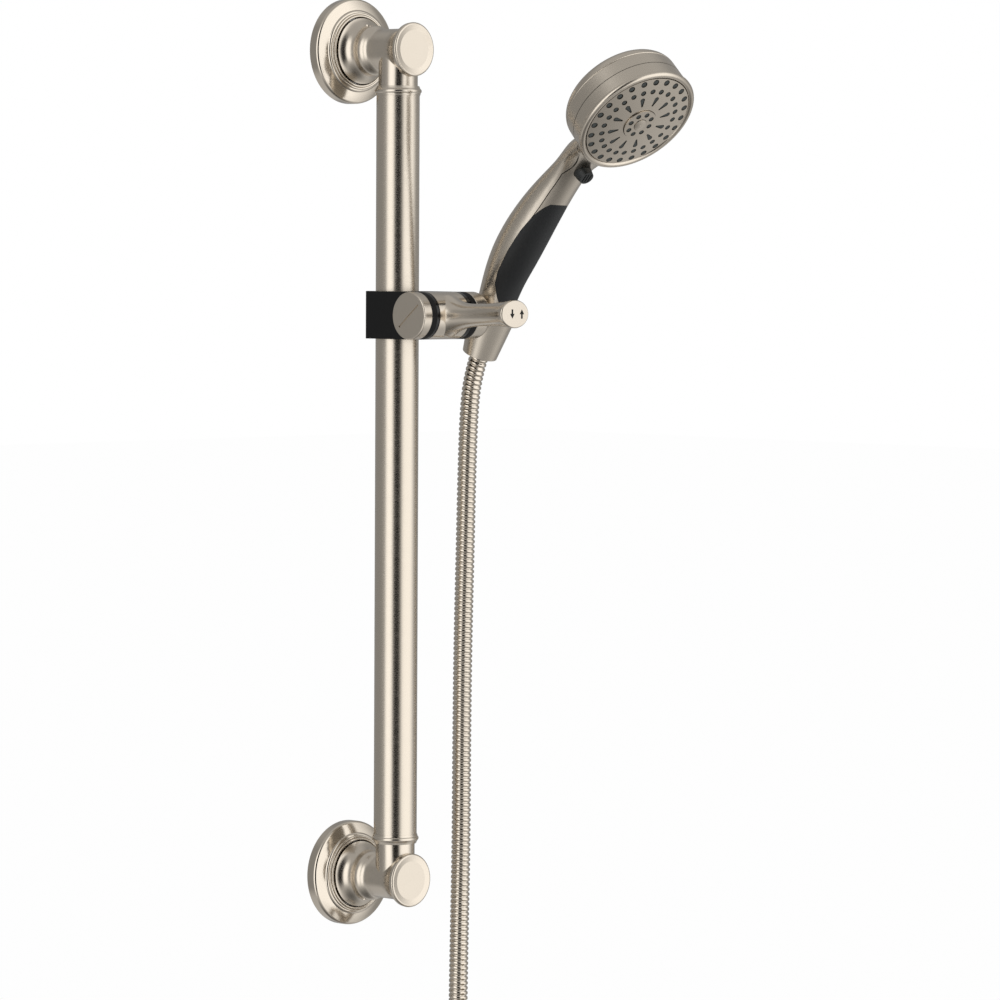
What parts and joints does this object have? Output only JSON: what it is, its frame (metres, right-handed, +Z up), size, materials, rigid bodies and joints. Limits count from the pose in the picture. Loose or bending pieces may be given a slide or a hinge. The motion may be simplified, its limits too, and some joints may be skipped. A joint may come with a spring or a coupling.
{
  "type": "hand shower set",
  "caption": "Hand shower in a tilting cradle on a sliding holder, with a wall bar on two posts and a metal hose.",
  "frame": {"origin": "centre of the lower wall plate's back face, on the wall", "axes": "+X to the right, +Y into the wall, +Z up along the bar"},
  "size_m": [0.1319, 0.2854, 0.9333],
  "materials": {
    "nickel_metal": "brushed nickel",
    "nickel_cast": "satin nickel finish on a moulding",
    "nickel_polished": "polished nickel finish on a moulding",
    "hose_metal": "interlocked metal spiral over a rubber tube",
    "black_matte": "fine matt texture",
    "black_gloss": "gloss",
    "inner_plastic": "moulded",
    "grip_rubber": "soft matt",
    "nozzle_rubber": "soft matt",
    "steel": "plain",
    "brass": "turned"
  },
  "bodies": {
    "wall_set": {"bar_tube": "nickel_metal", "lower_collar_ring": "nickel_metal", "lower_flange_cover": "nickel_metal", "lower_post": "nickel_metal", "lower_post_cap": "nickel_metal", "lower_set_screw": "steel", "lower_wall_bracket": "steel", "lower_wall_gasket": "black_matte", "upper_collar_ring": "nickel_metal", "upper_flange_cover": "nickel_metal", "upper_post": "nickel_metal", "upper_post_cap": "nickel_metal", "upper_set_screw": "steel", "upper_wall_bracket": "steel", "upper_wall_gasket": "black_matte"},
    "carriage": {"slider_liner": "inner_plastic"},
    "slider": {"slider_body": "black_matte", "brake_shoe": "black_matte", "brake_spring": "steel", "cross_axle": "steel", "tension_cap": "nickel_cast", "left_washer": "black_gloss", "right_washer": "black_gloss"},
    "thumb_lever": {"lever": "nickel_polished", "lever_bush": "inner_plastic", "lever_marks": "black_matte"},
    "holder": {"cradle": "nickel_cast", "cradle_liner": "black_matte"},
    "swivel_nut": {"cone_nut": "black_matte", "inlet_washer": "nozzle_rubber"},
    "hand_shower": {"rear_shell": "nickel_cast", "front_shell": "nickel_cast", "grip_pad": "grip_rubber", "head_bezel": "nickel_polished", "spray_plate": "nickel_cast", "nozzle_mat": "nozzle_rubber", "centre_disc": "nickel_cast", "centre_cap": "nickel_cast", "centre_nozzles": "nozzle_rubber", "spray_chamber": "inner_plastic", "head_seal": "nozzle_rubber", "front_button_spring": "steel", "rear_button_spring": "steel", "water_tube": "inner_plastic", "inlet_nipple": "brass", "flow_restrictor": "inner_plastic"},
    "selector": {"selector_wheel": "inner_plastic", "selector_pin": "steel"},
    "spray_button": {"front_button": "nozzle_rubber"},
    "back_button": {"rear_button": "nozzle_rubber"},
    "hose_line": {"hose": "hose_metal", "hose_coil": "hose_metal", "hose_tail": "hose_metal", "hose_tie": "black_matte", "end_ferrule": "nickel_cast", "end_nut": "nickel_metal", "end_washer": "nozzle_rubber"}
  },
  "joints": [
    {"name": "slider_travel", "type": "slide", "parent": "wall_set", "child": "carriage", "axis": [0, 0, 1], "range_m": [-0.357, 0.136]},
    {"name": "slider_swivel", "type": "hinge", "parent": "carriage", "child": "slider", "pos_m": [0, -0.0536, 0.4158], "axis": [0, 0, 1], "range_deg": [-40, 40]},
    {"name": "lever_press", "type": "hinge", "parent": "slider", "child": "thumb_lever", "pos_m": [0.001, -0.1, 0.4158], "axis": [1, 0, 0], "range_deg": [-12, 12], "stiffness_Nm_per_rad": 3},
    {"name": "cradle_tilt", "type": "hinge", "parent": "slider", "child": "holder", "pos_m": [0.022, -0.1, 0.4158], "axis": [1, 0, 0], "range_deg": [-20, 25]},
    {"name": "handset_lift", "type": "slide", "parent": "holder", "child": "swivel_nut", "axis": [0, -0.4067, 0.9135], "range_m": [0, 0.04]},
    {"name": "handset_turn", "type": "hinge", "parent": "swivel_nut", "child": "hand_shower", "pos_m": [0.052, -0.1, 0.4158], "axis": [0, -0.4067, 0.9135], "range_deg": [-60, 60]},
    {"name": "hose_hang", "type": "hinge", "parent": "swivel_nut", "child": "hose_line", "pos_m": [0.052, -0.08759, 0.38794], "axis": [1, 0, 0], "range_deg": [-25, 20], "deforming": ["hose"]},
    {"name": "button_press", "type": "slide", "parent": "hand_shower", "child": "spray_button", "axis": [0.0804, 0.7186, 0.6907], "range_m": [0, 0.0025], "stiffness_N_per_m": 800, "deforming": ["front_button_spring"]},
    {"name": "back_button_press", "type": "slide", "parent": "hand_shower", "child": "back_button", "axis": [-0.0804, -0.7186, -0.6907], "range_m": [0, 0.0015], "stiffness_N_per_m": 1200, "deforming": ["rear_button_spring"]},
    {"name": "selector_index", "type": "hinge", "parent": "hand_shower", "child": "selector", "pos_m": [0.04477, -0.25441, 0.55536], "axis": [-0.0804, -0.7186, -0.6907], "range_deg": [0, 40.5]}
  ],
  "couplings": [
    {"joint": "hose_hang", "follows": "cradle_tilt", "ratio": -1},
    {"joint": "selector_index", "follows": "button_press", "rad_per_m": 279.25}
  ]
}
